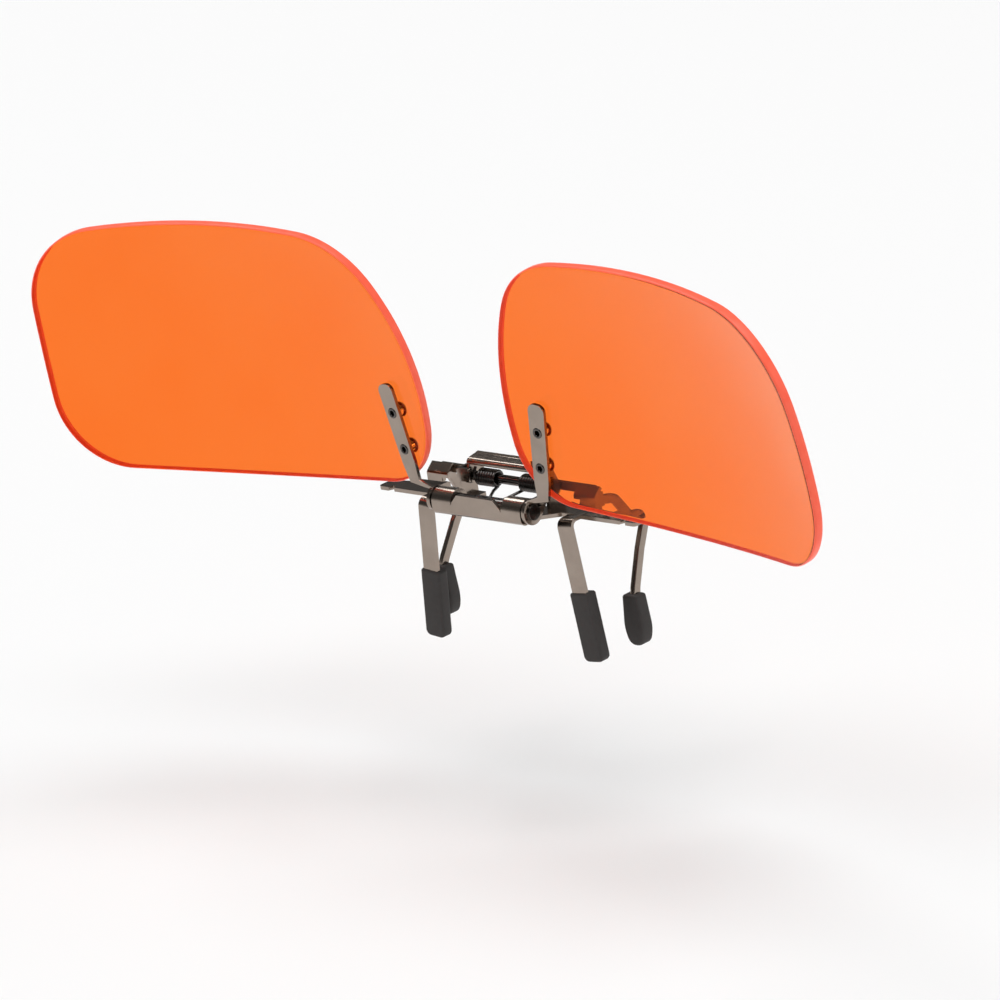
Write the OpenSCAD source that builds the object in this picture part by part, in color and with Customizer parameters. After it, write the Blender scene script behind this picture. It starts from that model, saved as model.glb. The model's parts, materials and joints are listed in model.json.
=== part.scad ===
// Flip-up clip-on lenses: two tinted lenses on riveted arms, a sprung clip and a flip hinge.
// Millimetres. +Z is up along the clip's front legs, -Y is the front, X = 0 is the symmetry plane.
// The origin is the middle of the gap between the front grips and the rear pads.

/* [Lenses] */
// middle of a lens from the symmetry plane
lens_x = 36.5; // [33:0.5:40]
// middle of a lens in front of the gap
lens_y = -6.06; // [-8:0.01:-4]
// middle of a lens above the origin
lens_z = 32.1; // [28:0.1:36]
// lens thickness
lens_thickness = 1.3; // [1:0.1:2.5]
// radius of the lens curve
lens_curve = 118; // [80:1:200]
// forward lean of the raised lens
lens_lean = 7.3; // [0:0.1:15]
// wrap of each lens around the face
lens_wrap = 8.75; // [0:0.25:15]
// corner circle radii of the outline: inner low, outer low, outer high, inner high
corner_radii = [9, 10.2, 12.5, 13.3];
// corner circle centres of the outline, from the lens middle
corner_centres = [[-19.8, -6.5], [19.4, -5.1], [16.5, 5.9], [-13.3, 4.9]];
// edge radii of the outline: low, outer, high, inner
edge_radii = [240, 114, 180, 31];

/* [Lens arms] */
// low end of the arm strip, from the symmetry plane
arm_x = 10.92; // [9:0.01:13]
// front face of the arm strip at its low end
arm_y = -5; // [-7:0.01:-3]
// low end of the arm strip above the origin
arm_z = 17.15; // [15:0.05:20]
// width of the arm strip
arm_width = 2.5; // [2:0.1:4]
// length of the flat arm strip
arm_length = 13.4; // [10:0.1:18]
// thickness of the arm strip
arm_thickness = 0.45; // [0.3:0.05:0.8]
// outward splay of the arm strip
arm_splay = 9.1; // [0:0.1:15]
// heights of the two rivets along the strip
rivet_heights = [4.72, 9.55];
// rivet shank radius
rivet_radius = 0.5; // [0.3:0.05:0.8]

/* [Flip hinge] */
// flip pin axis, front to back
flip_y = -4.4; // [-6:0.1:-4]
// flip pin axis above the origin
flip_z = 15.5; // [14:0.1:18]
// flip pin radius
flip_pin_radius = 1.05; // [0.8:0.05:1.4]
// running clearance of the flip pin
running_clearance = 0.05; // [0.02:0.01:0.1]
// outside radius of the rolled barrel
barrel_radius = 1.6; // [1.4:0.05:2]
// half the barrel length
barrel_half = 7.6; // [7:0.1:10]
// distance of a knuckle's inner end from the symmetry plane
knuckle_start = 4.3; // [3:0.1:6]

/* [Clip bracket] */
// sheet thickness
sheet = 0.5; // [0.4:0.05:0.8]
// half the span of the wings
wing_half = 22; // [20:0.5:26]
// middle of a front leg at its bend
leg_x = 11.9; // [10:0.1:14]
// front leg width
leg_width = 2.4; // [2:0.1:3.5]
// front leg thickness
leg_thickness = 0.45; // [0.4:0.05:1]
// outward splay of the legs
leg_splay = 5.6; // [0:0.1:10]
// front face of the legs
leg_y = -3.05; // [-4:0.1:-2]
// size of a front grip
grip = [3.2, 1.7, 9]; // [0.5:0.1:12]

/* [Rear jaw] */
// jaw pin axis, front to back
jaw_y = 0.9; // [0:0.1:2]
// jaw pin axis above the origin
jaw_z = 16.9; // [16:0.1:19]
// jaw pin radius
jaw_pin_radius = 0.6; // [0.4:0.05:0.8]
// distance of a bracket ear from the symmetry plane
ear_x = 7.2; // [6:0.1:9]
// half the thumb tab width
tab_half = 6.8; // [5:0.1:8]
// middle of a rear arm from the symmetry plane
rear_x = 13.9; // [12:0.1:16]
// rear arm strip thickness, side to side
rear_width = 0.75; // [0.6:0.05:1.5]
// rear arm strip width, along its profile
rear_thickness = 1.2; // [0.8:0.05:1.5]
// size of a rear pad
pad = [3.4, 2, 6.6]; // [0.5:0.1:10]
// spring wire radius
wire_radius = 0.2; // [0.15:0.01:0.3]
// middle radius of the spring coils
coil_radius = 0.95; // [0.85:0.05:1.3]

/* [Hidden] */
$fn = 48;
grip_top = 4.9;
grip_back = -1.6;
leg_foot = -3.2;
rear_bend_z = 12.2;
pad_top = 3.4;
pad_front = 1.6;
pad_x = 16.5;
rear_toe = 1.4;
arm_lean = 3.7;
arm_turn = 3.6;
play = 0.05;
plate_z = flip_z - barrel_radius;
bore_radius = flip_pin_radius + running_clearance;
ear_start = barrel_half + 0.25;
ear_thickness = 0.55;
bushing_flange = 0.08;
arm_foot = 0.35;
arm_foot_half = 0.85;
stack_back = 2.16;
lens_hole = rivet_radius + 0.25;
cheek = 0.35;
socket_start = rear_x - rear_width / 2 - play - cheek;
socket_end = rear_x + rear_width / 2 + play + cheek;
shoulder_y = jaw_y + 0.1;
shoulder_start = 11.1;
lip_start = 12.1;
lip_foot = jaw_z - 1.9;
colour_metal = [0.36, 0.34, 0.33];
colour_dark_metal = [0.16, 0.15, 0.15];
colour_rubber = [0.2, 0.19, 0.18];
colour_lens = [1, 0.42, 0.1, 0.8];
colour_clear = [0.8, 0.8, 0.78];

// ---- outlines ----

function unit(v) = v / norm(v);

// points of an arc about c
function arc(c, r, from, turn, steps) =
    [for (i = [0:steps]) c + r * [cos(from + turn * i / steps), sin(from + turn * i / steps)]];

// angle of a direction, and the turn from one direction to another
function heading(v) = atan2(v[1], v[0]);
function turn_between(a, b) = atan2(a[0] * b[1] - a[1] * b[0], a * b);

// the arc of radius r that rounds the corner b between a and c
function fillet(a, b, c, r, steps) =
    let (
        u = unit(a - b),
        w = unit(c - b),
        half = acos(u * w) / 2,
        centre = b + unit(u + w) * r / sin(half),
        first = b + u * r / tan(half) - centre,
        last = b + w * r / tan(half) - centre
    )
    arc(centre, r, heading(first), turn_between(first, last), steps);

// a closed outline with every corner rounded to its own radius
function rounded(points, radii, steps = 6) =
    let (n = len(points))
    [for (i = [0:n - 1])
        each fillet(points[(i + n - 1) % n], points[i], points[(i + 1) % n], radii[i], steps)];

// an open line with its inner corners rounded
function bent(points, radii, steps = 6) =
    let (n = len(points))
    [
        points[0],
        for (i = [1:n - 2])
            each fillet(points[i - 1], points[i], points[i + 1], radii[i - 1], steps),
        points[n - 1]
    ];

// sideways direction of a line at point i
function across(path, i) =
    let (
        n = len(path),
        ahead = path[min(i + 1, n - 1)] - path[i],
        behind = path[i] - path[max(i - 1, 0)],
        along = unit((norm(ahead) > 0 ? unit(ahead) : [0, 0]) + (norm(behind) > 0 ? unit(behind) : [0, 0]))
    )
    [-along[1], along[0]];

// a strip of sheet of thickness t seen from its edge
function ribbon(path, t) =
    let (n = len(path))
    [
        for (i = [0:n - 1]) path[i] + across(path, i) * t / 2,
        for (i = [n - 1:-1:0]) path[i] - across(path, i) * t / 2
    ];

// centre of the edge circle of radius r that touches two corner circles from outside
function edge_centre(a, ra, b, rb, r) =
    let (
        d = norm(b - a),
        along = unit(b - a),
        x = ((r - ra) * (r - ra) - (r - rb) * (r - rb) + d * d) / (2 * d),
        h = sqrt((r - ra) * (r - ra) - x * x)
    )
    a + along * x + [-along[1], along[0]] * h;

// lens outline: four corner circles joined by four shallow arcs
function lens_outline() =
    let (
        c = corner_centres,
        r = corner_radii,
        s = [for (i = [0:3]) edge_centre(c[i], r[i], c[(i + 1) % 4], r[(i + 1) % 4], edge_radii[i])]
    )
    [for (i = [0:3])
        let (
            before = c[i] - s[(i + 3) % 4],
            after = c[i] - s[i],
            next = c[(i + 1) % 4] - s[i]
        )
        each concat(
            arc(c[i], r[i], heading(before), turn_between(before, after), 10),
            [for (k = [1:7])
                s[i] + edge_radii[i] * [
                    cos(heading(after) + turn_between(after, next) * k / 8),
                    sin(heading(after) + turn_between(after, next) * k / 8)
                ]]
        )];

// ---- helpers ----

// a round bar along +X from x to x + length
module bar(x, length, r) {
    translate([x, 0, 0]) rotate([0, 90, 0]) cylinder(r = r, h = length);
}

// a sheet piece with a YZ outline, from x to x + width
module plate_x(x, width, outline) {
    translate([x, 0, 0])
        rotate([90, 0, 90])
            linear_extrude(width) polygon(outline);
}

// right and left copies share one shape
module mirrored(side) {
    if (side > 0) children();
    else mirror([1, 0, 0]) children();
}

module both() {
    for (side = [-1, 1]) mirrored(side) children();
}

// a round wire along a path of points
function wire_frames(path) =
    let (n = len(path))
    [for (
        i = 0,
        t = unit(path[1] - path[0]),
        u = unit(cross(t, [0.31, 0.17, 0.93]));
        i < n;
        i = i + 1,
        t = i < n ? unit(path[min(i + 1, n - 1)] - path[max(i - 1, 0)]) : t,
        u = unit(u - t * (u * t))
    ) [u, cross(t, u)]];

module wire(path, r, sides = 8) {
    frames = wire_frames(path);
    n = len(path);
    points = [for (i = [0:n - 1], k = [0:sides - 1])
        path[i] + r * (cos(360 * k / sides) * frames[i][0] + sin(360 * k / sides) * frames[i][1])];
    walls = [for (i = [0:n - 2], k = [0:sides - 1])
        [
            i * sides + k,
            (i + 1) * sides + k,
            (i + 1) * sides + (k + 1) % sides,
            i * sides + (k + 1) % sides
        ]];
    polyhedron(
        points,
        concat(
            [[for (k = [0:sides - 1]) k]],
            walls,
            [[for (k = [sides - 1:-1:0]) (n - 1) * sides + k]]
        )
    );
}

// frame of an arm strip: x across, y from its front face towards the lens, z along it
module in_arm() {
    translate([arm_x, arm_y, arm_z])
        rotate([arm_lean, arm_splay, 0])
            rotate([0, 0, arm_turn])
                children();
}

// frame of a lens: x outward, -y forward, z up
module in_lens() {
    translate([lens_x, lens_y, lens_z])
        rotate([lens_lean, 0, 0])
            rotate([0, 0, -lens_wrap])
                children();
}

// frame of a leg, with its origin at the bend
module in_leg(x, z) {
    translate([x, 0, z]) rotate([0, -leg_splay, 0]) children();
}

module rivet_bars(y, length, r) {
    for (h = rivet_heights)
        translate([0, y, h]) rotate([-90, 0, 0]) cylinder(r = r, h = length);
}

// ---- clip bracket ----

module knuckle() {
    translate([0, flip_y, flip_z]) bar(knuckle_start, barrel_half - knuckle_start, barrel_radius);
}

// flat front wall that turns under the barrel and runs back
module barrel_wall() {
    wall = [
        [flip_y - barrel_radius, flip_z],
        [flip_y - barrel_radius, plate_z],
        [flip_y + 1.6, plate_z],
        [flip_y + 1.6, plate_z + sheet],
        [flip_y, plate_z + sheet],
        [flip_y - barrel_radius + sheet, flip_z - 0.6],
        [flip_y - barrel_radius + sheet, flip_z]
    ];
    translate([-barrel_half, 0, 0])
        rotate([90, 0, 90])
            linear_extrude(2 * barrel_half)
                difference() {
                    polygon(concat(
                        [wall[0]],
                        fillet(wall[0], wall[1], wall[2], 0.9, 6),
                        [for (i = [2:6]) wall[i]]
                    ));
                    translate([flip_y, flip_z]) circle(r = bore_radius);
                }
}

// raised middle of the front wall, with sloping ends
module wall_crest() {
    crest = [[-4.3, 0], [4.3, 0], [4.1, 0.45], [3.1, 1.5], [-3.1, 1.5], [-4.1, 0.45]];
    translate([0, flip_y - barrel_radius + sheet, flip_z - 0.1])
        rotate([90, 0, 0])
            linear_extrude(sheet) polygon(crest);
}

// side plate and wing on the right
module wing() {
    front = -0.9;
    back = 2.1;
    outline = [
        [5.9, flip_y + 1.4],
        [barrel_half, flip_y + 1.4],
        [9.9, front],
        [wing_half - 2.7, front],
        [wing_half - 2.4, front + 0.7],
        [wing_half - 2, front + 0.7],
        [wing_half - 1.7, front],
        [wing_half, front],
        [wing_half, back - 0.7],
        [wing_half - 3.4, back],
        [5.9, back]
    ];
    translate([0, 0, plate_z])
        linear_extrude(sheet)
            polygon(rounded(outline, [0.1, 0.1, 0.5, 0.1, 0.1, 0.1, 0.1, 0.5, 0.9, 0.6, 0.3], 4));
}

// upright ear for the jaw pin, with a front flange
module jaw_ear() {
    ear = [
        [jaw_y - 1.7, plate_z + 0.1],
        [jaw_y + 1.1, plate_z + 0.1],
        [jaw_y + 1.1, jaw_z + 0.9],
        [jaw_y + 0.4, jaw_z + 1.4],
        [jaw_y - 1.7, jaw_z + 1.4]
    ];
    difference() {
        union() {
            plate_x(ear_x, sheet, rounded(ear, [0.1, 0.1, 0.5, 0.5, 0.2], 4));
            translate([ear_x - 1.5, jaw_y - 1.7, jaw_z - 0.3]) cube([1.7, sheet, 1.7]);
        }
        translate([0, jaw_y, jaw_z]) bar(ear_x - 1, 3, jaw_pin_radius);
    }
}

// front leg: a strip that leaves the wing's front edge and bends down
module front_leg() {
    bend = 0.9;
    path = bent(
        [
            [0.2, plate_z + leg_thickness / 2],
            [leg_y + leg_thickness / 2, plate_z + leg_thickness / 2],
            [leg_y + leg_thickness / 2, leg_foot]
        ],
        [bend],
        8
    );
    in_leg(leg_x, plate_z)
        translate([0, 0, -plate_z])
            plate_x(-leg_width / 2, leg_width, ribbon(path, leg_thickness));
}

module front_bracket() {
    color(colour_metal) {
        difference() {
            union() {
                both() knuckle();
                barrel_wall();
                wall_crest();
            }
            translate([0, flip_y, flip_z]) bar(-barrel_half - 1, 2 * barrel_half + 2, bore_radius);
        }
        both() {
            wing();
            jaw_ear();
            front_leg();
        }
    }
}

// ---- grips ----

module front_grip(side) {
    tall = grip[2];
    half = grip[0] / 2;
    face = rounded(
        [[-half, -tall], [half, -tall], [half, 0], [-half, 0]],
        [0.8, 0.8, 0.35, 0.35]
    );
    color(colour_rubber)
        mirrored(side)
            in_leg(leg_x, plate_z)
                difference() {
                    translate([0, grip_back, grip_top - plate_z])
                        rotate([90, 0, 0]) linear_extrude(grip[1]) polygon(face);
                    translate([-leg_width / 2 - play, leg_y - play, leg_foot - plate_z - play])
                        cube([leg_width + 2 * play, leg_thickness + 2 * play, 20]);
                }
}

module front_grip_left() { front_grip(-1); }
module front_grip_right() { front_grip(1); }

// ---- flip hinge ----

// leaf that presses on the flats of the flip pin
module detent_spring() {
    path = bent(
        [
            [flip_y + 2.6, plate_z + sheet + 0.2],
            [flip_y + 1.6, plate_z + sheet + 0.2],
            [flip_y + 0.98, plate_z + 1.1],
            [flip_y + 0.98, flip_z + 0.75]
        ],
        [0.3, 0.3],
        4
    );
    color(colour_dark_metal) {
        plate_x(-2.5, 5, ribbon(path, 0.24));
        both() plate_x(2.3, 4, [
            [flip_y + 1.9, plate_z + sheet],
            [flip_y + 2.6, plate_z + sheet],
            [flip_y + 2.6, plate_z + sheet + 0.3],
            [flip_y + 1.9, plate_z + sheet + 0.3]
        ]);
    }
}

// pin with two flats in its middle and a formed head beyond each arm ear
module flip_pin() {
    reach = ear_start + ear_thickness;
    color(colour_dark_metal)
        translate([0, flip_y, flip_z]) {
            difference() {
                bar(-reach, 2 * reach, flip_pin_radius);
                for (side = [-1, 1])
                    translate([0, side * 1.3, 0]) cube([5.2, 1, 4], center = true);
            }
            both() bar(reach, 0.25, flip_pin_radius);
        }
}

module flip_pin_washers() {
    color(colour_dark_metal)
        translate([0, flip_y, flip_z])
            both()
                difference() {
                    bar(barrel_half + 0.03, 0.19, barrel_radius - 0.15);
                    bar(barrel_half - 1, 2, bore_radius);
                }
}

// ---- lens arms ----

module arm_strip() {
    half = arm_width / 2;
    face = rounded(
        [
            [-arm_foot_half, arm_foot],
            [arm_foot_half, arm_foot],
            [half - 0.1, 3],
            [half, arm_length],
            [-half, arm_length],
            [-half + 0.1, 3]
        ],
        [0.1, 0.1, 4, 1, 1, 4]
    );
    in_arm()
        difference() {
            translate([0, arm_thickness, 0]) rotate([90, 0, 0]) linear_extrude(arm_thickness) polygon(face);
            rivet_bars(-1, 3, rivet_radius);
        }
}

// ear round the pin, and the folded neck that joins it to the strip
module arm_ear() {
    translate([0, flip_y, flip_z])
        difference() {
            union() {
                bar(ear_start, ear_thickness, 1.65);
                plate_x(ear_start, ear_thickness, rounded(
                    [[-0.6, -1.53], [0.9, -1.4], [2.4, 0.2], [2.4, 1.5], [-1, 1.5], [-1.3, 0]],
                    [0.3, 0.6, 0.4, 0.4, 0.3, 0.1]
                ));
            }
            bar(0, 20, flip_pin_radius);
        }
    difference() {
        hull() {
            translate([ear_start, flip_y + 1.25, flip_z + 0.3]) cube([ear_thickness, 1, 1]);
            translate([ear_start, flip_y - 0.6, flip_z + 1.3]) cube([ear_thickness, 0.5, 0.2]);
            in_arm() translate([-arm_foot_half, 0, arm_foot]) cube([2 * arm_foot_half, arm_thickness, 0.2]);
        }
        translate([0, flip_y, flip_z]) bar(0, 20, flip_pin_radius + 0.1);
    }
}

module lens_arm(side) {
    color(colour_metal)
        mirrored(side) {
            arm_strip();
            arm_ear();
        }
}

module lens_arm_left() { lens_arm(-1); }
module lens_arm_right() { lens_arm(1); }

// ---- lenses ----

module lens(side) {
    color(colour_lens)
        mirrored(side)
            difference() {
                in_lens()
                    intersection() {
                        translate([0, 8, 0]) rotate([90, 0, 0]) linear_extrude(16) polygon(lens_outline());
                        translate([0, -lens_curve, 0])
                            difference() {
                                sphere(r = lens_curve + lens_thickness / 2);
                                sphere(r = lens_curve - lens_thickness / 2);
                            }
                    }
                in_arm() rivet_bars(-1, 6, lens_hole);
            }
}

module lens_left() { lens(-1); }
module lens_right() { lens(1); }

// nylon bushings in the lens holes, with a flange under the arm and one behind the lens
module lens_bushings(side) {
    color(colour_clear)
        mirrored(side)
            in_arm()
                difference() {
                    union() {
                        rivet_bars(arm_thickness, stack_back - arm_thickness, lens_hole - 0.02);
                        rivet_bars(arm_thickness, bushing_flange, 0.95);
                        rivet_bars(stack_back - 0.15, 0.15, 1);
                    }
                    rivet_bars(-1, 6, rivet_radius);
                }
}

module lens_bushings_left() { lens_bushings(-1); }
module lens_bushings_right() { lens_bushings(1); }

// tubular rivets: a rolled rim in front, a domed head behind
module lens_rivets(side) {
    back = stack_back;
    color(colour_dark_metal)
        mirrored(side)
            in_arm()
                for (h = rivet_heights)
                    translate([0, 0, h])
                        rotate([-90, 0, 0])
                            difference() {
                                union() {
                                    translate([0, 0, -0.12]) cylinder(r = 0.72, h = 0.12);
                                    cylinder(r = rivet_radius, h = back + 0.1);
                                    intersection() {
                                        translate([0, 0, back - 1.15]) sphere(r = 1.45);
                                        translate([0, 0, back]) cylinder(r = 1.2, h = 1);
                                    }
                                }
                                translate([0, 0, -1]) cylinder(r = 0.34, h = back + 0.4);
                            }
}

module lens_rivets_left() { lens_rivets(-1); }
module lens_rivets_right() { lens_rivets(1); }

// ---- rear jaw ----

// pin riveted into the bracket ears
module jaw_pin() {
    reach = ear_x + sheet;
    color(colour_dark_metal)
        translate([0, jaw_y, jaw_z]) {
            bar(-reach, 2 * reach, jaw_pin_radius);
            both() bar(reach, 0.3, 0.9);
        }
}

module jaw_pin_washers() {
    color(colour_dark_metal)
        translate([0, jaw_y, jaw_z])
            both()
                difference() {
                    bar(ear_x - 0.27, 0.24, 1.05);
                    bar(0, 20, jaw_pin_radius + running_clearance);
                }
}

// two coils on the jaw pin, a loop that bears on the barrel and two ends under the thumb tab
module torsion_spring() {
    steps = 101;
    pitch = 2 * wire_radius + 0.03;
    coil = [for (i = [0:steps])
        let (a = 250 - 360 * i / 14)
        [2.2 + pitch * i / 14, jaw_y + coil_radius * cos(a), jaw_z + coil_radius * sin(a)]];
    last = coil[len(coil) - 1];
    half = concat(
        [
            [0.5, flip_y + 2.25, jaw_z - 1.5],
            [1, flip_y + 2.3, jaw_z - 1.42],
            [1.4, flip_y + 2.7, jaw_z - 1.3],
            [1.9, jaw_y - 1.5, jaw_z - 1.05]
        ],
        coil,
        [
            last + [0.15, 0.03, 0.6],
            last + [0.2, 0.49, 1.28]
        ]
    );
    path = concat(
        [for (i = [len(half) - 1:-1:0]) [-half[i][0], half[i][1], half[i][2]]],
        half
    );
    color(colour_dark_metal) wire(path, wire_radius);
}

// thumb tab, jaw ears, rear wall, shoulders and sockets in one sheet
module rear_jaw() {
    tab = ribbon(
        bent(
            [
                [jaw_y - 0.4, jaw_z + 1.65],
                [jaw_y - 0.4, jaw_z + 2.1],
                [jaw_y + 1.1, jaw_z + 2.35],
                [jaw_y + 1.5, jaw_z + 2.6]
            ],
            [0.4, 0.5]
        ),
        sheet
    );
    side = [
        [-0.9, -0.9],
        [0.7, -0.9],
        [1.8, -0.6],
        [1.8, 0.6],
        [1.1, 2.3],
        [-0.3, 2.1],
        [-0.9, 0.9]
    ];
    color(colour_metal) {
        // thumb tab with rounded corners
        intersection() {
            plate_x(-tab_half, 2 * tab_half, tab);
            translate([0, 0, jaw_z])
                linear_extrude(5)
                    polygon(rounded(
                        [
                            [-tab_half, jaw_y - 2],
                            [tab_half, jaw_y - 2],
                            [tab_half, jaw_y + 1.7],
                            [-tab_half, jaw_y + 1.7]
                        ],
                        [0.3, 0.3, 1, 1]
                    ));
        }
        both() {
            // ear on the jaw pin
            translate([0, jaw_y, jaw_z])
                difference() {
                    plate_x(6.35, sheet, rounded(side, [0.8, 0.3, 0.3, 0.2, 0.2, 0.2, 0.6], 4));
                    bar(0, 20, jaw_pin_radius + running_clearance);
                }
            // rear wall that passes behind the bracket ear
            translate([6.35, jaw_y + 1.3, jaw_z - 0.6]) cube([socket_start + cheek - 6.35, sheet, 1.1]);
            // sloping shoulder
            plate_x(shoulder_start, socket_end - shoulder_start, ribbon(
                bent(
                    [[jaw_y + 1.25, jaw_z + 0.5], [shoulder_y, jaw_z - 0.45], [shoulder_y, jaw_z - 0.9]],
                    [0.3]
                ),
                sheet
            ));
            // front wall of the socket that holds the rear arm
            translate([lip_start, shoulder_y - sheet / 2, lip_foot])
                cube([socket_end - lip_start, sheet, jaw_z - 0.6 - lip_foot]);
            for (x = [socket_start, socket_end - cheek])
                translate([x, shoulder_y, lip_foot]) cube([cheek, 1.4, jaw_z - 0.1 - lip_foot]);
        }
    }
}

// a strip along a path in space, with its width along +X
module strip(path, wide, thick) {
    n = len(path);
    side = [1, 0, 0];
    points = [for (i = [0:n - 1])
        let (
            along = unit(path[min(i + 1, n - 1)] - path[max(i - 1, 0)]),
            out = unit(cross(along, side)),
            flat = cross(out, along)
        )
        each [for (c = [[-1, -1], [1, -1], [1, 1], [-1, 1]])
            path[i] + c[0] * flat * wide / 2 + c[1] * out * thick / 2]];
    walls = [for (i = [0:n - 2], k = [0:3])
        [i * 4 + k, (i + 1) * 4 + k, (i + 1) * 4 + (k + 1) % 4, i * 4 + (k + 1) % 4]];
    polyhedron(points, concat([[0, 1, 2, 3]], walls, [[for (k = [3:-1:0]) (n - 1) * 4 + k]]));
}

// S-shaped strip: from the socket back over the brow of the spectacles, then down to the pad
module rear_strip(wide, thick) {
    start = [shoulder_y + 0.42, jaw_z - 1.2];
    knee_x = rear_x + rear_toe;
    toe_start = jaw_y + 1.6;
    tip = [8, rear_bend_z];
    side_view = bent(
        [
            start,
            [toe_start, jaw_z - 1.25],
            [jaw_y + 3.5, jaw_z - 1.6],
            tip - [1.8, -0.2],
            tip,
            [5.4, 8.2],
            [2.8, 3.4],
            [2.75, -2.4]
        ],
        [1.2, 1.2, 1.2, 0.4, 4, 4]
    );
    strip(
        [for (p = side_view)
            [
                p[1] > rear_bend_z - 0.3
                    ? rear_x + rear_toe * max(0, p[0] - toe_start) / (tip[0] - toe_start)
                    : p[1] > pad_top
                        ? knee_x + (pad_x - knee_x) * (rear_bend_z - p[1]) / (rear_bend_z - pad_top)
                        : pad_x,
                p[0],
                p[1]
            ]],
        wide,
        thick
    );
}

module rear_arm(side) {
    color(colour_metal)
        mirrored(side) rear_strip(rear_width, rear_thickness);
}

module rear_arm_left() { rear_arm(-1); }
module rear_arm_right() { rear_arm(1); }

module rear_pad(side) {
    tall = pad[2];
    half = pad[0] / 2;
    face = rounded(
        [
            [-0.62 * half, -tall],
            [0.62 * half, -tall],
            [half, -0.68 * tall],
            [0.72 * half, 0],
            [-0.72 * half, 0],
            [-half, -0.68 * tall]
        ],
        [1.25, 1.25, 5, 0.4, 0.4, 5]
    );
    color(colour_rubber)
        mirrored(side)
            difference() {
                translate([pad_x, pad_front + pad[1], pad_top])
                    rotate([90, 0, 0]) linear_extrude(pad[1]) polygon(face);
                rear_strip(rear_width + 2 * play, rear_thickness + 2 * play);
            }
}

module rear_pad_left() { rear_pad(-1); }
module rear_pad_right() { rear_pad(1); }

front_bracket();
front_grip_left();
front_grip_right();
detent_spring();
jaw_pin();
jaw_pin_washers();
torsion_spring();
flip_pin();
flip_pin_washers();
lens_arm_left();
lens_arm_right();
lens_left();
lens_right();
lens_bushings_left();
lens_bushings_right();
lens_rivets_left();
lens_rivets_right();
rear_jaw();
rear_arm_left();
rear_arm_right();
rear_pad_left();
rear_pad_right();
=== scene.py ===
"""Clip-on flip-up lenses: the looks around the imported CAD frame.

Shapes are in millimetres, in the CAD frame.
"""

import json
import math

import bmesh
import bpy
from mathutils import Matrix, Vector

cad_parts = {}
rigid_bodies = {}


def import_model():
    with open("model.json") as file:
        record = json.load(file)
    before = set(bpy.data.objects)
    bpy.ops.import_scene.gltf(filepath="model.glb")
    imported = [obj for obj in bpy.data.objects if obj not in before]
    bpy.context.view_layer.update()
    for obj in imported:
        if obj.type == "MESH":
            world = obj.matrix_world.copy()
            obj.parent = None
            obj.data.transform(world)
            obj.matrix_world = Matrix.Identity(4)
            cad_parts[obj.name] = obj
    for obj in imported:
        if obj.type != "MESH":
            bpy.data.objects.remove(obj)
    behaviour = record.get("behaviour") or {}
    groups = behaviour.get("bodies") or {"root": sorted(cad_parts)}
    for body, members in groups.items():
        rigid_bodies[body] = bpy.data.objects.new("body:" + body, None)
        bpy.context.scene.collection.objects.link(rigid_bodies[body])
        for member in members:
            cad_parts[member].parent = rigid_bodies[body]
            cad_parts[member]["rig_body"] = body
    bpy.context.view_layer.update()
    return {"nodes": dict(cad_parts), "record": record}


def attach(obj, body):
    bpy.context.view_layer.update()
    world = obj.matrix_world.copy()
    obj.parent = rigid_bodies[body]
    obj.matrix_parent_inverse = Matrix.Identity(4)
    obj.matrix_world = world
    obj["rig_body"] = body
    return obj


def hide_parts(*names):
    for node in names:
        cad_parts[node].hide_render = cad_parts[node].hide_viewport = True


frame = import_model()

MM = 0.001
BODY = {n: o["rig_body"] for n, o in frame["nodes"].items()}
SLOT = {s["node"]: s["material_slot"] for s in frame["record"]["subparts"]}

# ---- dimensions of the CAD part, mm ----

LENS_MIDDLE = (36.5, -6.06, 32.1)
LENS_LEAN, LENS_WRAP = 7.3, 8.75
LENS_THICKNESS, LENS_CURVE = 1.3, 118.0
CORNER_RADII = (9, 10.2, 12.5, 13.3)
CORNER_CENTRES = ((-19.8, -6.5), (19.4, -5.1), (16.5, 5.9), (-13.3, 4.9))
EDGE_RADII = (240, 114, 180, 31)
ARM_FOOT = (10.92, -5.0, 17.15)
ARM_LEAN, ARM_SPLAY, ARM_TURN = 3.7, 9.1, 3.6
ARM_THICKNESS = 0.45
RIVET_HEIGHTS = (4.72, 9.55)
RIVET_RADIUS, STACK_BACK = 0.5, 2.16
FLIP_Y, FLIP_Z = -4.4, 15.5
LENS_SWING = 38.0  # more than the farthest point of a lens from the flip pin
PLATE_Z = 13.9
LEG_X, LEG_SPLAY = 11.9, 5.6
LEG_Y, LEG_WIDTH, LEG_THICKNESS, LEG_FOOT = -3.05, 2.4, 0.45, -3.2
GRIP = (3.2, 1.7, 9.0)
GRIP_TOP, GRIP_BACK = 4.9, -1.6
JAW_Y, JAW_Z = 0.9, 16.9
WIRE_RADIUS, COIL_RADIUS, COIL_GAP = 0.2, 0.95, 0.03
COIL_START_X, COIL_START_ANGLE = 2.2, 250
REAR_X, REAR_TOE = 13.9, 1.4
REAR_WIDTH, REAR_THICKNESS, REAR_BEND_Z = 0.75, 1.2, 12.2
PAD = (3.4, 2.0, 6.6)
PAD_TOP, PAD_FRONT, PAD_X = 3.4, 1.6, 16.5
PLAY = 0.05

# ---- mesh clean-up ----

MERGE_GAP = 0.0005  # mm
FLAT_ANGLE, BEVEL_ANGLE = 0.6, 32  # degrees
FACE_WEIGHT = 80


def turn(axis, degrees):
    return Matrix.Rotation(math.radians(degrees), 4, axis)


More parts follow.
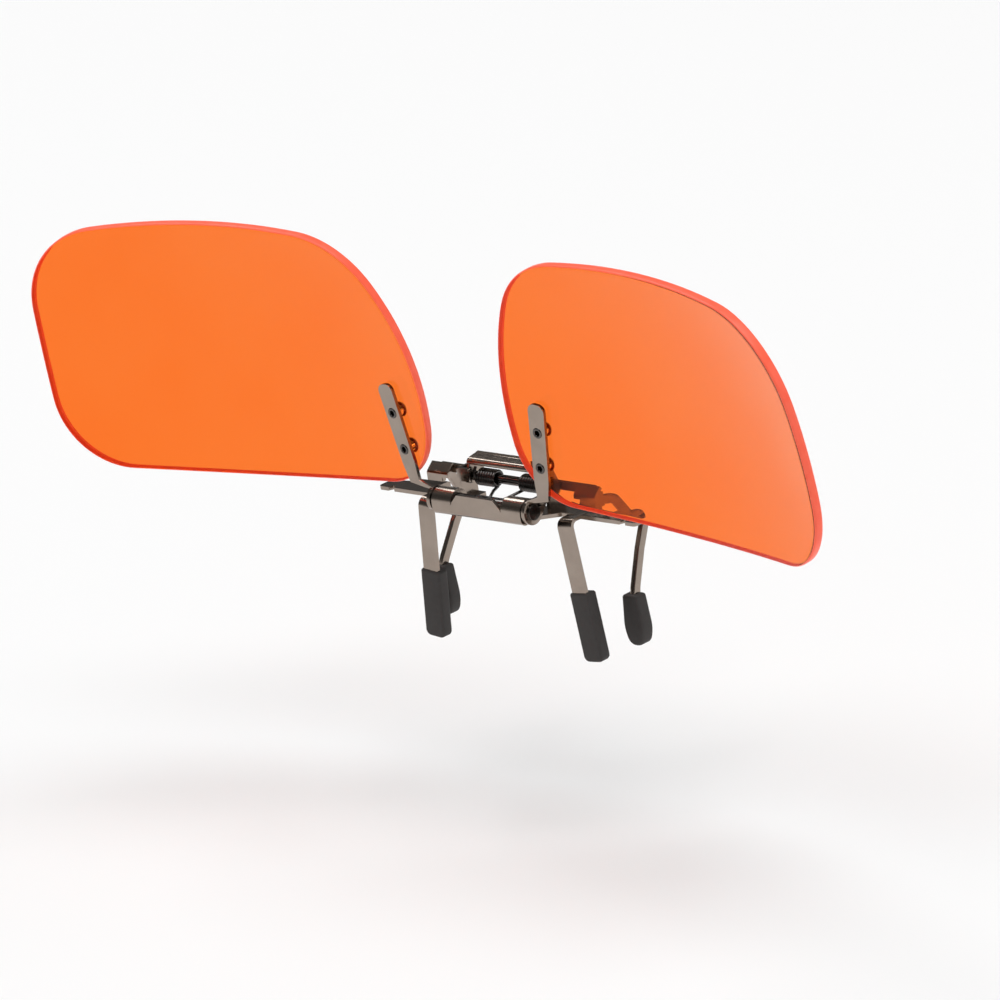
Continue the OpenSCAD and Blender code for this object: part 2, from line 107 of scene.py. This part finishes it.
IN_ARM = (
    Matrix.Translation(ARM_FOOT)
    @ turn("Y", ARM_SPLAY)
    @ turn("X", ARM_LEAN)
    @ turn("Z", ARM_TURN)
)
IN_LENS = Matrix.Translation(LENS_MIDDLE) @ turn("X", LENS_LEAN) @ turn("Z", -LENS_WRAP)
IN_LEG = Matrix.Translation((LEG_X, 0, PLATE_Z)) @ turn("Y", -LEG_SPLAY)
PLAIN = Matrix.Identity(4)


# ---- outlines ----


def arc(centre, radius, start, sweep, steps):
    """Points of an arc, angles in radians."""
    return [
        Vector(
            (
                centre[0] + radius * math.cos(start + sweep * i / steps),
                centre[1] + radius * math.sin(start + sweep * i / steps),
            )
        )
        for i in range(steps + 1)
    ]


def heading(v):
    return math.atan2(v[1], v[0])


def turn_between(a, b):
    return math.atan2(a[0] * b[1] - a[1] * b[0], a[0] * b[0] + a[1] * b[1])


def fillet(a, b, c, radius, steps):
    """The arc that rounds the corner b between a and c."""
    a, b, c = Vector(a), Vector(b), Vector(c)
    u, w = (a - b).normalized(), (c - b).normalized()
    half = math.acos(max(-1, min(1, u.dot(w)))) / 2
    centre = b + (u + w).normalized() * radius / math.sin(half)
    first = b + u * radius / math.tan(half) - centre
    last = b + w * radius / math.tan(half) - centre
    return arc(centre, radius, heading(first), turn_between(first, last), steps)


def rounded(points, radii, steps=10):
    n = len(points)
    out = []
    for i in range(n):
        out += fillet(points[i - 1], points[i], points[(i + 1) % n], radii[i], steps)
    return out


def bent(points, radii, steps=12):
    out = [Vector(points[0])]
    for i in range(1, len(points) - 1):
        out += fillet(points[i - 1], points[i], points[i + 1], radii[i - 1], steps)
    return out + [Vector(points[-1])]


def spaced(path, step):
    """The same line with points at most step apart."""
    out = [path[0]]
    for p in path[1:]:
        gap = (p - out[-1]).length
        if gap < 1e-6:
            continue
        count = max(1, math.ceil(gap / step))
        start = out[-1]
        out += [start.lerp(p, k / count) for k in range(1, count + 1)]
    return out


def edge_centre(a, ra, b, rb, r):
    """Centre of the circle of radius r that touches two corner circles from outside."""
    a, b = Vector(a), Vector(b)
    d = (b - a).length
    along = (b - a) / d
    x = ((r - ra) ** 2 - (r - rb) ** 2 + d * d) / (2 * d)
    h = math.sqrt((r - ra) ** 2 - x * x)
    return a + along * x + Vector((-along[1], along[0])) * h


def lens_outline(corner_steps=22, edge_steps=18):
    c, r = [Vector(p) for p in CORNER_CENTRES], CORNER_RADII
    s = [
        edge_centre(c[i], r[i], c[(i + 1) % 4], r[(i + 1) % 4], EDGE_RADII[i])
        for i in range(4)
    ]
    out = []
    for i in range(4):
        before, after = c[i] - s[i - 1], c[i] - s[i]
        following = c[(i + 1) % 4] - s[i]
        out += arc(
            c[i],
            r[i],
            heading(before),
            turn_between(before, after),
            corner_steps,
        )
        edge = arc(
            s[i],
            EDGE_RADII[i],
            heading(after),
            turn_between(after, following),
            edge_steps,
        )
        out += edge[1:-1]
    return out


# ---- materials ----


class Nodes:
    """A short way to write a material's node tree."""

    def __init__(self, name):
        self.material = bpy.data.materials.new(name)
        self.material.use_nodes = True
        self.tree = self.material.node_tree
        self.shader = self.tree.nodes["Principled BSDF"]
        self.place = self.tree.nodes.new("ShaderNodeTexCoord").outputs["Object"]

    def add(self, kind, inputs=(), **settings):
        node = self.tree.nodes.new(kind)
        for key, value in settings.items():
            setattr(node, key, value)
        for key, value in dict(inputs).items():
            if isinstance(value, bpy.types.NodeSocket):
                self.tree.links.new(value, node.inputs[key])
            else:
                node.inputs[key].default_value = value
        return node

    def stretch(self, scale):
        return self.add("ShaderNodeMapping", {"Vector": self.place, "Scale": scale}).outputs[0]

    def noise(self, scale, detail=4.0, rough=0.55, vector=None):
        found = self.add(
            "ShaderNodeTexNoise",
            {
                "Vector": vector or self.place,
                "Scale": scale,
                "Detail": detail,
                "Roughness": rough,
            },
        )
        return found.outputs["Fac"]

    def ramp(self, value, low, high):
        """Maps a 0.3 to 0.7 noise to the range low to high."""
        found = self.add(
            "ShaderNodeMapRange",
            {"Value": value, "From Min": 0.3, "From Max": 0.7, "To Min": low, "To Max": high},
        )
        return found.outputs["Result"]

    def blend(self, factor, a, b):
        node = self.add("ShaderNodeMix", data_type="RGBA")
        for key, value in ((0, factor), (6, a), (7, b)):
            if isinstance(value, bpy.types.NodeSocket):
                self.tree.links.new(value, node.inputs[key])
            else:
                node.inputs[key].default_value = value
        return node.outputs[2]

    def bump(self, height, strength, distance):
        node = self.add(
            "ShaderNodeBump",
            {"Height": height, "Strength": strength, "Distance": distance},
        )
        self.tree.links.new(node.outputs[0], self.shader.inputs["Normal"])

    def set(self, **values):
        for key, value in values.items():
            socket = self.shader.inputs[key.replace("_", " ")]
            if isinstance(value, bpy.types.NodeSocket):
                self.tree.links.new(value, socket)
            else:
                socket.default_value = value


def metal(name, dark, light, roughness, grain):
    """Plated sheet or pin: faint blotches and fine drawn scratches."""
    m = Nodes(name)
    blotch = m.noise(420.0)
    scratch = m.noise(1.0, 6.0, 0.7, m.stretch(grain))
    colour = m.blend(m.ramp(blotch, 0.0, 1.0), dark, light)
    m.set(Base_Color=colour, Metallic=1.0)
    m.set(Roughness=m.ramp(scratch, roughness - 0.03, roughness + 0.04))
    m.bump(scratch, 0.05, 0.000004)
    return m.material


def rubber(name):
    """Matte moulded rubber: soft mottling, fine pebbled grain and dusty patches."""
    m = Nodes(name)
    mottle = m.noise(350.0, 3.0)
    dust = m.noise(1400.0, 5.0, 0.7)
    colour = m.blend(m.ramp(mottle, 0.0, 1.0), (0.03, 0.026, 0.025, 1), (0.046, 0.041, 0.039, 1))
    colour = m.blend(m.ramp(dust, 0.0, 0.35), colour, (0.06, 0.055, 0.052, 1))
    m.set(Base_Color=colour, Roughness=m.ramp(mottle, 0.55, 0.75))
    m.shader.inputs["Specular IOR Level"].default_value = 0.4
    m.bump(m.noise(5200.0, 2.0), 0.35, 0.00003)
    return m.material


def tinted(name):
    """Orange tinted lens body: clear, glossy, with a very slight uneven dye."""
    m = Nodes(name)
    dye = m.noise(55.0, 2.0)
    colour = m.blend(m.ramp(dye, 0.0, 1.0), (1.0, 0.18, 0.02, 1), (1.0, 0.195, 0.026, 1))
    m.set(Base_Color=colour, Roughness=0.02, IOR=1.36)
    m.shader.inputs["Transmission Weight"].default_value = 1.0
    m.shader.inputs["Specular Tint"].default_value = (0.85, 0.25, 0.15, 1)
    m.bump(m.noise(160.0, 2.0), 0.03, 0.00001)
    return m.material


def tinted_edge_painted_glow(name):
    """Ground rim of the lens: pinkish red, finely frosted, with a painted glow from emission that brightens
    the edge.
    """
    m = Nodes(name)
    frost = m.noise(900.0, 2.0)
    colour = m.blend(m.ramp(frost, 0.0, 1.0), (1.0, 0.13, 0.07, 1), (1.0, 0.16, 0.09, 1))
    m.set(Base_Color=colour, Roughness=m.ramp(frost, 0.3, 0.38), IOR=1.36)
    m.shader.inputs["Transmission Weight"].default_value = 0.15
    # painted glow: the emission makes the rim shine pinkish red though it is no lamp
    m.shader.inputs["Emission Color"].default_value = (1.0, 0.09, 0.04, 1)
    m.shader.inputs["Emission Strength"].default_value = 0.22
    m.bump(frost, 0.03, 0.000004)
    return m.material


def nylon(name):
    """Natural nylon: milky, slightly clear."""
    m = Nodes(name)
    haze = m.noise(900.0, 3.0)
    colour = m.blend(m.ramp(haze, 0.0, 1.0), (0.62, 0.58, 0.5, 1), (0.74, 0.71, 0.64, 1))
    m.set(Base_Color=colour, Roughness=m.ramp(haze, 0.3, 0.45), IOR=1.5)
    m.shader.inputs["Transmission Weight"].default_value = 0.45
    m.bump(haze, 0.1, 0.00001)
    return m.material


SHEET = metal(
    "black_nickel_sheet",
    (0.29, 0.238, 0.2, 1),
    (0.34, 0.282, 0.238, 1),
    0.19,
    (500, 500, 4200),
)
PIN = metal(
    "dark_pin_steel",
    (0.085, 0.078, 0.074, 1),
    (0.115, 0.106, 0.1, 1),
    0.18,
    (4200, 600, 600),
)
SPRING = metal("spring_steel", (0.07, 0.065, 0.062, 1), (0.11, 0.1, 0.095, 1), 0.22, (900, 900, 900))
RUBBER = rubber("dark_rubber")
TINT = tinted("orange_lens")
TINT_EDGE_PAINTED_GLOW = tinted_edge_painted_glow("orange_lens_edge_painted_glow")
NYLON = nylon("clear_nylon")
FINISH = {
    "black_nickel_sheet": SHEET,
    "dark_pin_steel": PIN,
    "spring_steel": SPRING,
    "dark_rubber": RUBBER,
    "orange_lens": TINT,
    "clear_nylon": NYLON,
}


# ---- making pieces ----


def piece(name, verts, faces, node, place=PLAIN, side=1, smooth=35, materials=None):
    """A mesh piece from points in mm, which stands for a CAD node and rides on its body."""
    points = [place @ Vector(v) for v in verts]
    if side < 0:
        points = [Vector((-p.x, p.y, p.z)) for p in points]
        faces = [tuple(reversed(f)) for f in faces]
    mesh = bpy.data.meshes.new(name)
    mesh.from_pydata([p * MM for p in points], [], faces)
    mesh.validate()
    obj = bpy.data.objects.new(name, mesh)
    bpy.context.scene.collection.objects.link(obj)
    for m in materials or [FINISH[SLOT[node]]]:
        mesh.materials.append(m)
    mesh.shade_smooth()
    mesh.set_sharp_from_angle(angle=math.radians(smooth))
    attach(obj, BODY[node])
    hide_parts(node)
    return obj


def applied(obj):
    """Applies every modifier to the mesh and gives the new mesh."""
    bpy.context.view_layer.update()
    graph = bpy.context.evaluated_depsgraph_get()
    mesh = bpy.data.meshes.new_from_object(obj.evaluated_get(graph), depsgraph=graph)
    obj.modifiers.clear()
    obj.data = mesh
    return mesh


def bake_modifiers(obj, smooth=35):
    """Applies every modifier and shades the result."""
    mesh = applied(obj)
    mesh.shade_smooth()
    mesh.set_sharp_from_angle(angle=math.radians(smooth))
    return obj


def soften(obj, width, segments=2):
    """Rounds the sharp edges by width mm."""
    mod = obj.modifiers.new("edge", "BEVEL")
    mod.width = width * MM
    mod.segments = segments
    mod.limit_method = "ANGLE"
    mod.angle_limit = math.radians(BEVEL_ANGLE)
    mod.use_clamp_overlap = True
    mod.miter_outer = "MITER_ARC"
    mod.harden_normals = False
    return bake_modifiers(obj, 40)


def level(obj):
    """Keeps broad faces flat to the eye beside their rounded edges."""
    mod = obj.modifiers.new("normals", "WEIGHTED_NORMAL")
    mod.keep_sharp = True
    mod.weight = FACE_WEIGHT
    applied(obj)


def formed(node, width, segments=2):
    """A sheet or turned piece with its real edges: CAD faces merged and rounded by width mm."""
    source = frame["nodes"][node]
    mesh = source.data.copy()
    mesh.name = node + "_fine"
    work = bmesh.new()
    work.from_mesh(mesh)
    bmesh.ops.remove_doubles(work, verts=work.verts, dist=MERGE_GAP * MM)
    bmesh.ops.dissolve_limit(
        work, angle_limit=math.radians(FLAT_ANGLE), verts=work.verts, edges=work.edges
    )
    work.to_mesh(mesh)
    work.free()
    obj = bpy.data.objects.new(node + "_fine", mesh)
    bpy.context.scene.collection.objects.link(obj)
    mesh.materials.clear()
    mesh.materials.append(FINISH[SLOT[node]])
    soften(obj, width, segments)
    level(obj)
    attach(obj, BODY[node])
    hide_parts(node)
    return obj


def cut(obj, cutters):
    """Takes closed cutter meshes (verts in metres, faces) out of a piece."""
    made = []
    for verts, faces in cutters:
        mesh = bpy.data.meshes.new("cutter")
        mesh.from_pydata(verts, [], faces)
        tool = bpy.data.objects.new("cutter", mesh)
        bpy.context.scene.collection.objects.link(tool)
        mod = obj.modifiers.new("cut", "BOOLEAN")
        mod.operation = "DIFFERENCE"
        mod.solver = "EXACT"
        mod.object = tool
        made.append(tool)
    bake_modifiers(obj)
    for tool in made:
        bpy.data.objects.remove(tool)
    return obj


def tube_cutter(place, side, centre, radius, y0, y1, steps=48):
    """A cylinder along the local Y axis."""
    verts, faces = [], []
    for y in (y0, y1):
        for i in range(steps):
            a = 2 * math.pi * i / steps
            verts.append((centre[0] + radius * math.cos(a), y, centre[1] + radius * math.sin(a)))
    for i in range(steps):
        j = (i + 1) % steps
        faces.append((i, i + steps, j + steps, j))
    faces.append(tuple(range(steps)))
    faces.append(tuple(reversed(range(steps, 2 * steps))))
    return placed(verts, faces, place, side)


def placed(verts, faces, place, side):
    points = [place @ Vector(v) for v in verts]
    if side < 0:
        points = [Vector((-p.x, p.y, p.z)) for p in points]
        faces = [tuple(reversed(f)) for f in faces]
    return [p * MM for p in points], faces


def prism(outline, y0, y1):
    """Closed prism of an XZ outline between two depths."""
    n = len(outline)
    verts = [(p[0], y0, p[1]) for p in outline] + [(p[0], y1, p[1]) for p in outline]
    faces = [tuple(range(n)), tuple(reversed(range(n, 2 * n)))]
    faces += [(i, i + n, (i + 1) % n + n, (i + 1) % n) for i in range(n)]
    return verts, faces


def loft(rings, closed_ends=True):
    """Joins rings of equal length into a skin."""
    n = len(rings[0])
    verts = [v for ring in rings for v in ring]
    faces = []
    for r in range(len(rings) - 1):
        for k in range(n):
            a, b = r * n + k, r * n + (k + 1) % n
            faces.append((a, b, b + n, a + n))
    if closed_ends:
        faces.append(tuple(reversed(range(n))))
        faces.append(tuple(range((len(rings) - 1) * n, len(rings) * n)))
    return verts, faces


def lathe(profile, height, steps=40):
    """A turned shape about the local Y axis at x = 0, z = height.

    The profile starts and ends on the axis.
    """
    verts, faces = [], []
    first = (0, profile[0][1], height)
    last = (0, profile[-1][1], height)
    verts.append(first)
    inner = profile[1:-1]
    for r, y in inner:
        for i in range(steps):
            a = 2 * math.pi * i / steps
            verts.append((r * math.cos(a), y, height + r * math.sin(a)))
    verts.append(last)
    end = len(verts) - 1
    for i in range(steps):
        j = (i + 1) % steps
        faces.append((0, 1 + j, 1 + i))
        for k in range(len(inner) - 1):
            a, b = 1 + k * steps, 1 + (k + 1) * steps
            faces.append((a + i, a + j, b + j, b + i))
        k = 1 + (len(inner) - 1) * steps
        faces.append((k + i, k + j, end))
    return verts, faces


def ring_lathe(profile, height, steps=40):
    """A turned ring: the profile is a closed line away from the axis."""
    verts, faces = [], []
    n = len(profile)
    for r, y in profile:
        for i in range(steps):
            a = 2 * math.pi * i / steps
            verts.append((r * math.cos(a), y, height + r * math.sin(a)))
    for k in range(n):
        a, b = k * steps, (k + 1) % n * steps
        for i in range(steps):
            j = (i + 1) % steps
            faces.append((a + i, a + j, b + j, b + i))
    return verts, faces


def merged(parts):
    verts, faces = [], []
    for v, f in parts:
        start = len(verts)
        verts += v
        faces += [tuple(i + start for i in face) for face in f]
    return verts, faces


def outward(obj):
    """Turns every face outwards."""
    work = bmesh.new()
    work.from_mesh(obj.data)
    bmesh.ops.recalc_face_normals(work, faces=work.faces)
    work.to_mesh(obj.data)
    work.free()
    return obj


# ---- the lenses ----


def make_lens(side, label):
    outline = lens_outline()
    middle = Vector((0.0, 0.0))
    half = LENS_THICKNESS / 2
    inner = [i / 14 for i in range(1, 14)] + [0.965, 0.985]
    rim = [(0.9925, 0.03), (0.9965, 0.09), (0.9992, 0.18), (1.0, 0.32)]
    stack = [(f, -half) for f in inner]
    stack += [(f, -half + d) for f, d in rim]
    stack += [(f, half - d) for f, d in reversed(rim)]
    stack += [(f, half) for f in reversed(inner)]

    def shell(p, depth):
        reach = LENS_CURVE + depth
        return (p[0], -LENS_CURVE + math.sqrt(reach * reach - p.length_squared), p[1])

    rings = [[shell(middle.lerp(p, f), d) for p in outline] for f, d in stack]
    verts, faces = loft(rings, closed_ends=False)
    n = len(outline)
    front, back = len(verts), len(verts) + 1
    verts += [shell(middle, -half), shell(middle, half)]
    faces += [(front, (k + 1) % n, k) for k in range(n)]
    last = (len(rings) - 1) * n
    faces += [(back, last + k, last + (k + 1) % n) for k in range(n)]
    node = "lens_" + label
    obj = piece(node + "_fine", verts, faces, node, IN_LENS, side, 60, [TINT, TINT_EDGE_PAINTED_GLOW])
    rim_rings = range(len(inner), len(inner) + 2 * len(rim) - 1)
    for i, face in enumerate(obj.data.polygons):
        face.material_index = 1 if i // n in rim_rings else 0
    outward(obj)
    hole = RIVET_RADIUS + 0.25
    cut(obj, [tube_cutter(IN_ARM, side, (0, h), hole, -1, 6) for h in RIVET_HEIGHTS])
    obj.data.set_sharp_from_angle(angle=math.radians(60))
    return obj


def make_bushings(side, label):
    """Two nylon bushings: a thin flange under the arm, a tube, and a flange behind the lens."""
    core, tube = RIVET_RADIUS, RIVET_RADIUS + 0.23
    profile = [
        (core, ARM_THICKNESS),
        (0.9, ARM_THICKNESS),
        (0.95, ARM_THICKNESS + 0.04),
        (0.9, ARM_THICKNESS + 0.08),
        (tube, ARM_THICKNESS + 0.08),
        (tube, STACK_BACK - 0.15),
        (0.94, STACK_BACK - 0.15),
        (1.0, STACK_BACK - 0.08),
        (0.94, STACK_BACK),
        (core, STACK_BACK),
    ]
    node = "lens_bushings_" + label
    verts, faces = merged([ring_lathe(profile, h) for h in RIVET_HEIGHTS])
    return outward(piece(node + "_fine", verts, faces, node, IN_ARM, side))


def make_rivets(side, label):
    """Tubular rivets: a rolled rim round a deep hole in front, a low dome behind."""
    back = STACK_BACK
    dome = [(0.93 * math.cos(a), back + 0.3 * math.sin(a)) for a in [math.pi / 2 * k / 8 for k in range(9)]]
    roll = [
        (0.53 + 0.17 * math.cos(a), -0.005 - 0.115 * math.sin(a))
        for a in [math.pi * k / 10 for k in range(10, -1, -1)]
    ]
    profile = [(0, back - 0.6), (0.34, back - 0.6), (0.34, 0.3), (0.345, 0.1)]
    profile += roll
    profile += [(0.7, 0.0), (RIVET_RADIUS, 0.0), (RIVET_RADIUS, back)]
    profile += dome
    node = "lens_rivets_" + label
    verts, faces = merged([lathe(profile, h) for h in RIVET_HEIGHTS])
    return outward(piece(node + "_fine", verts, faces, node, IN_ARM, side, 50))


# ---- grips and pads ----


def make_grip(side, label):
    half, tall = GRIP[0] / 2, GRIP[2]
    face = rounded(
        [(-half, -tall), (half, -tall), (half, 0), (-half, 0)],
        [0.8, 0.8, 0.35, 0.35],
    )
    verts, faces = prism(spaced(face + face[:1], 0.8)[:-1], GRIP_BACK - GRIP[1], GRIP_BACK)
    place = IN_LEG @ Matrix.Translation((0, 0, GRIP_TOP - PLATE_Z))
    node = "front_grip_" + label
    obj = outward(piece(node + "_fine", verts, faces, node, place, side))
    soften(obj, 0.42, 5)
    low = [-LEG_WIDTH / 2 - PLAY, LEG_Y - PLAY, LEG_FOOT - PLATE_Z - PLAY]
    high = [LEG_WIDTH / 2 + PLAY, LEG_Y + LEG_THICKNESS + PLAY, 4]
    cut(obj, [placed(*box(low, high), IN_LEG, side)])
    return obj


def box(low, high):
    corners = [(x, y, z) for z in (low[2], high[2]) for y in (low[1], high[1]) for x in (low[0], high[0])]
    faces = [(0, 2, 3, 1), (4, 5, 7, 6), (0, 1, 5, 4), (2, 6, 7, 3), (0, 4, 6, 2), (1, 3, 7, 5)]
    return corners, faces


def make_pad(side, label):
    half, tall = PAD[0] / 2, PAD[2]
    face = rounded(
        [
            (-0.62 * half, -tall),
            (0.62 * half, -tall),
            (half, -0.68 * tall),
            (0.72 * half, 0),
            (-0.72 * half, 0),
            (-half, -0.68 * tall),
        ],
        [1.25, 1.25, 5, 0.4, 0.4, 5],
    )
    verts, faces = prism(spaced(face + face[:1], 0.8)[:-1], PAD_FRONT, PAD_FRONT + PAD[1])
    place = Matrix.Translation((PAD_X, 0, PAD_TOP))
    node = "rear_pad_" + label
    obj = outward(piece(node + "_fine", verts, faces, node, place, side))
    soften(obj, 0.5, 5)
    cut(obj, [placed(*rear_strip(REAR_WIDTH + 2 * PLAY, REAR_THICKNESS + 2 * PLAY, 0.02), PLAIN, side)])
    return obj


# ---- rear arms ----


def rear_path():
    """Middle line of the right rear arm, from the socket to the pad."""
    start = (JAW_Y + 0.52, JAW_Z - 1.2)
    toe_start = JAW_Y + 1.6
    tip = (8, REAR_BEND_Z)
    line = bent(
        [
            start,
            (toe_start, JAW_Z - 1.25),
            (JAW_Y + 3.5, JAW_Z - 1.6),
            (tip[0] - 1.8, tip[1] + 0.2),
            tip,
            (5.4, 8.2),
            (2.8, 3.4),
            (2.75, -2.4),
        ],
        [1.2, 1.2, 1.2, 0.4, 4, 4],
        8,
    )
    out = []
    for p in spaced(line, 0.35):
        y, z = p
        if z > REAR_BEND_Z - 0.3:
            x = REAR_X + REAR_TOE * max(0, y - toe_start) / (tip[0] - toe_start)
        elif z > PAD_TOP:
            x = REAR_X + REAR_TOE + (PAD_X - REAR_X - REAR_TOE) * (REAR_BEND_Z - z) / (
                REAR_BEND_Z - PAD_TOP
            )
        else:
            x = PAD_X
        out.append(Vector((x, y, z)))
    return out


def rear_strip(wide, thick, corner):
    """A strip along the rear arm's line with a rounded section."""
    path = rear_path()
    section = rounded(
        [(-wide / 2, -thick / 2), (wide / 2, -thick / 2), (wide / 2, thick / 2), (-wide / 2, thick / 2)],
        [corner] * 4,
        3,
    )
    rings = []
    for i, p in enumerate(path):
        along = (path[min(i + 1, len(path) - 1)] - path[max(i - 1, 0)]).normalized()
        out = along.cross(Vector((1, 0, 0))).normalized()
        flat = out.cross(along)
        rings.append([p + flat * s[0] + out * s[1] for s in section])
    return loft(rings)


def make_rear_arm(side, label):
    node = "rear_arm_" + label
    verts, faces = rear_strip(REAR_WIDTH, REAR_THICKNESS, 0.14)
    return outward(piece(node + "_fine", verts, faces, node, PLAIN, side, 50))


# ---- spring ----


def make_spring():
    """One wire: two coils on the jaw pin, a loop against the barrel, two tails under the thumb tab."""
    steps, per_turn, fine = 101, 14, 3
    pitch = 2 * WIRE_RADIUS + COIL_GAP
    coil = []
    for i in range(steps * fine + 1):
        t = i / fine
        a = math.radians(COIL_START_ANGLE - 360 * t / per_turn)
        coil.append(
            Vector(
                (
                    COIL_START_X + pitch * t / per_turn,
                    JAW_Y + COIL_RADIUS * math.cos(a),
                    JAW_Z + COIL_RADIUS * math.sin(a),
                )
            )
        )
    last = coil[-1]
    lead = [
        Vector((0.5, FLIP_Y + 2.25, JAW_Z - 1.5)),
        Vector((1, FLIP_Y + 2.3, JAW_Z - 1.42)),
        Vector((1.4, FLIP_Y + 2.7, JAW_Z - 1.3)),
        Vector((1.9, JAW_Y - 1.5, JAW_Z - 1.05)),
    ]
    tail = [last + Vector((0.15, 0.03, 0.6)), last + Vector((0.2, 0.49, 1.28))]
    half = lead + coil + tail
    path = [Vector((-p.x, p.y, p.z)) for p in reversed(half)] + half
    sides = 14
    rings = []
    normal = None
    for i, p in enumerate(path):
        along = (path[min(i + 1, len(path) - 1)] - path[max(i - 1, 0)]).normalized()
        normal = normal or along.cross(Vector((0.31, 0.17, 0.93))).normalized()
        normal = (normal - along * normal.dot(along)).normalized()
        other = along.cross(normal)
        rings.append(
            [
                p
                + WIRE_RADIUS
                * (
                    normal * math.cos(2 * math.pi * k / sides)
                    + other * math.sin(2 * math.pi * k / sides)
                )
                for k in range(sides)
            ]
        )
    verts, faces = loft(rings)
    return outward(piece("torsion_spring_fine", verts, faces, "torsion_spring", smooth=60))


for side, label in ((-1, "left"), (1, "right")):
    make_lens(side, label)
    make_bushings(side, label)
    make_rivets(side, label)
    make_grip(side, label)
    make_pad(side, label)
    make_rear_arm(side, label)
    formed("lens_arm_" + label, 0.07)
make_spring()
formed("front_bracket", 0.07)
formed("rear_jaw", 0.08)
formed("flip_pin", 0.1, segments=3)
formed("flip_pin_washers", 0.04)
formed("jaw_pin", 0.1, segments=3)
formed("jaw_pin_washers", 0.05)
formed("detent_spring", 0.04)


# ---- stage ----


def studio_floor(height):
    mesh = bpy.data.meshes.new("floor")
    size = 6.0
    mesh.from_pydata(
        [(-size, -size, height), (size, -size, height), (size, size, height), (-size, size, height)],
        [],
        [(0, 1, 2, 3)],
    )
    obj = bpy.data.objects.new("floor", mesh)
    bpy.context.scene.collection.objects.link(obj)
    m = Nodes("pale_floor")
    m.set(Base_Color=(0.92, 0.92, 0.92, 1), Roughness=0.8)
    m.shader.inputs["Specular IOR Level"].default_value = 0.2
    mesh.materials.append(m.material)


def soft_light(name, at, target, size, power):
    lamp = bpy.data.lights.new(name, "AREA")
    lamp.shape = "RECTANGLE"
    lamp.size, lamp.size_y = size
    lamp.energy = power
    obj = bpy.data.objects.new(name, lamp)
    bpy.context.scene.collection.objects.link(obj)
    obj.location = at
    obj.rotation_euler = (Vector(target) - Vector(at)).to_track_quat("-Z", "Y").to_euler()


def studio_world():
    """Dim dome, a little brighter low down and straight overhead."""
    world = bpy.data.worlds.new("studio")
    bpy.context.scene.world = world
    world.use_nodes = True
    tree = world.node_tree
    place = tree.nodes.new("ShaderNodeTexCoord")
    split = tree.nodes.new("ShaderNodeSeparateXYZ")
    ramp = tree.nodes.new("ShaderNodeValToRGB")
    tree.links.new(place.outputs["Generated"], split.inputs[0])
    tree.links.new(split.outputs["Z"], ramp.inputs[0])
    stops = ramp.color_ramp.elements
    stops[0].position, stops[0].color = 0.02, (0.75, 0.74, 0.73, 1)
    stops[1].position, stops[1].color = 1.0, (0.7, 0.7, 0.7, 1)
    for position, grey in ((0.14, 0.12), (0.5, 0.07), (0.85, 0.2)):
        stop = stops.new(position)
        stop.color = (grey, grey, grey, 1)
    tree.links.new(ramp.outputs[0], tree.nodes["Background"].inputs[0])
    tree.nodes["Background"].inputs[1].default_value = 1.0


# the floor is below the lowest reach of the lenses, so they clear it when flipped down
studio_floor((FLIP_Z - LENS_SWING) * MM)
studio_world()
soft_light("key", (-0.75, 0.35, 0.8), (0, 0, 0.02), (0.3, 0.2), 1.2)
soft_light("top", (0.2, -0.3, 2.8), (0, 0, 0), (3.0, 3.0), 84)
soft_light("side", (1.1, 0.5, 0.5), (0, 0, 0.03), (0.5, 0.4), 1.5)

camera = bpy.data.cameras.new("camera")
camera.lens = 313.5
camera.sensor_width = 36.0
camera.clip_start = 0.05
camera.clip_end = 50.0
view = bpy.data.objects.new("camera", camera)
bpy.context.scene.collection.objects.link(view)
bpy.context.scene.camera = view
VIEW_FROM = (0.7387, -0.7166, 0.3393)
VIEW_RIGHT = Vector((0.7206, 0.6774, -0.1479))
VIEW_UP = Vector((-0.1056, 0.318, 0.9422))
VIEW_BACK = Vector((0.6853, -0.6633, 0.3007))
turned = Matrix((VIEW_RIGHT, VIEW_UP, VIEW_BACK)).transposed().to_4x4()
view.matrix_world = Matrix.Translation(VIEW_FROM) @ turned
bpy.context.scene.view_settings.view_transform = "Standard"
